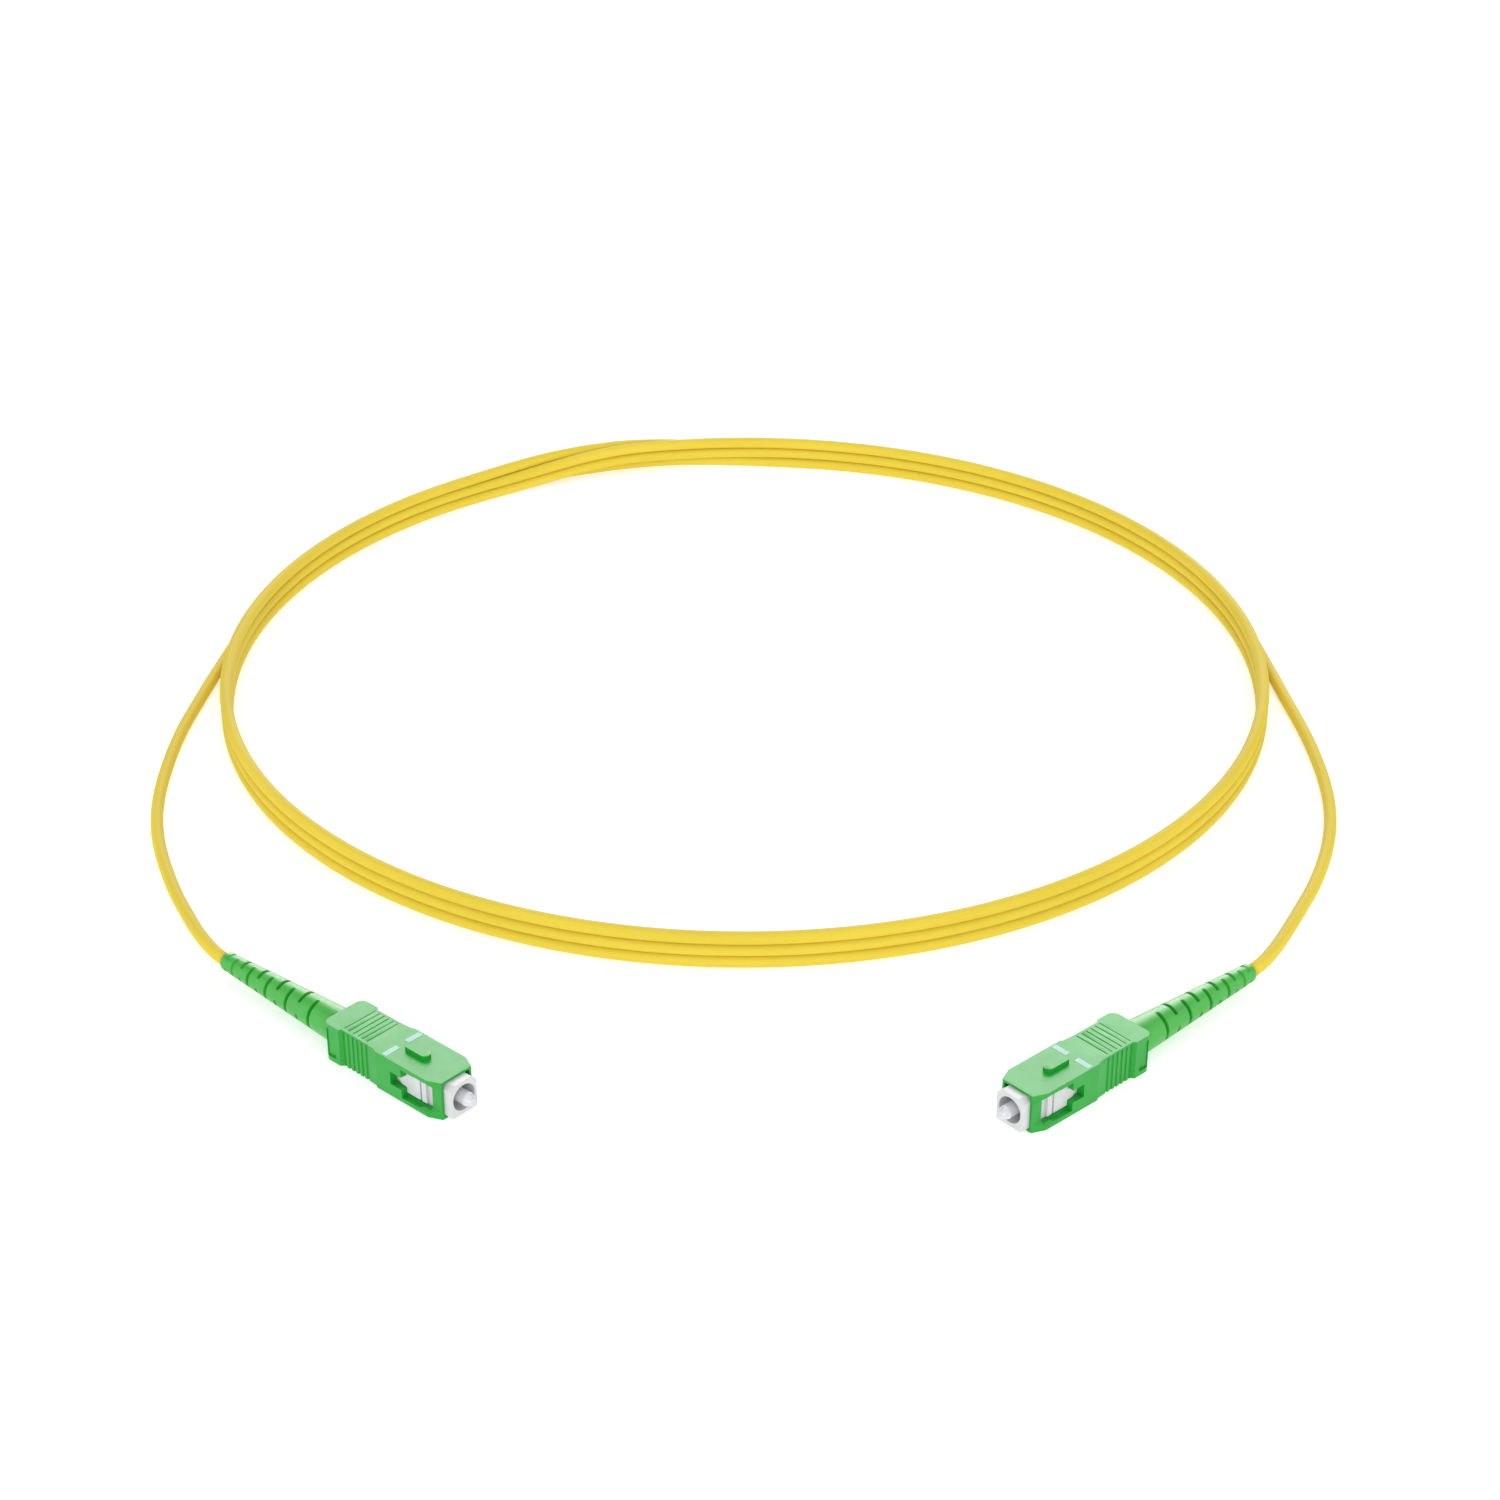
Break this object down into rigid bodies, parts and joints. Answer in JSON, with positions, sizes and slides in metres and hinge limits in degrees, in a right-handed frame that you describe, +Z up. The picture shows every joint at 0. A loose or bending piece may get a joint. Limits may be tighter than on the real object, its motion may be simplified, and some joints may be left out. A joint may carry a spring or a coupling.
{
  "type": "fiber optic patch cord",
  "caption": "Simplex single-mode patch cord: yellow jacket laid in a round coil, with a green angled push-pull plug and slotted boot at each end.",
  "frame": {"origin": "on the resting surface, midway between the two plugs", "axes": "+X from the left plug to the right plug, +Y toward the coil, +Z up"},
  "size_m": [0.2282, 0.2647, 0.0082],
  "materials": {
    "grip_green": "moulded, satin",
    "boot_green": "moulded elastomer, satin",
    "mark_white": "pale inlay",
    "frame_white": "moulded, satin",
    "zirconia": "polished ceramic",
    "glass_fiber": "clear",
    "buffer_white": "extruded",
    "flange_steel": "turned",
    "spring_steel": "drawn wire",
    "rear_body_brass": "nickel plated, turned",
    "crimp_metal": "drawn tube",
    "yarn": "aramid fibre",
    "jacket_yellow": "extruded jacket, satin"
  },
  "bodies": {
    "cord_and_frames": {"left_plug_frame": "frame_white", "left_ferrule_spring": "spring_steel", "left_stop_body": "rear_body_brass", "left_aramid_yarn": "yarn", "left_crimp_sleeve": "crimp_metal", "left_boot": "boot_green", "left_jacket_end": "jacket_yellow", "right_plug_frame": "frame_white", "right_ferrule_spring": "spring_steel", "right_stop_body": "rear_body_brass", "right_aramid_yarn": "yarn", "right_crimp_sleeve": "crimp_metal", "right_boot": "boot_green", "right_jacket_end": "jacket_yellow", "left_tail": "jacket_yellow", "coil": "jacket_yellow", "right_tail": "jacket_yellow"},
    "left_grip": {"left_grip_housing": "grip_green", "left_seating_marks": "mark_white"},
    "left_ferrule_group": {"left_ferrule": "zirconia", "left_glass_fiber": "glass_fiber", "left_tight_buffer": "buffer_white", "left_ferrule_flange": "flange_steel"},
    "right_grip": {"right_grip_housing": "grip_green", "right_seating_marks": "mark_white"},
    "right_ferrule_group": {"right_ferrule": "zirconia", "right_glass_fiber": "glass_fiber", "right_tight_buffer": "buffer_white", "right_ferrule_flange": "flange_steel"}
  },
  "joints": [
    {"name": "left_grip_slide", "type": "slide", "parent": "cord_and_frames", "child": "left_grip", "axis": [0.7431, -0.6691, 0], "range_m": [-0.0015, 0]},
    {"name": "left_ferrule_float", "type": "slide", "parent": "cord_and_frames", "child": "left_ferrule_group", "axis": [0.7431, -0.6691, 0], "range_m": [-0.001, 0], "stiffness_N_per_m": 2500, "springref_m": 0.002, "deforming": ["left_ferrule_spring"]},
    {"name": "right_grip_slide", "type": "slide", "parent": "cord_and_frames", "child": "right_grip", "axis": [-0.7431, -0.6691, 0], "range_m": [-0.0015, 0]},
    {"name": "right_ferrule_float", "type": "slide", "parent": "cord_and_frames", "child": "right_ferrule_group", "axis": [-0.7431, -0.6691, 0], "range_m": [-0.001, 0], "stiffness_N_per_m": 2500, "springref_m": 0.002, "deforming": ["right_ferrule_spring"]}
  ]
}
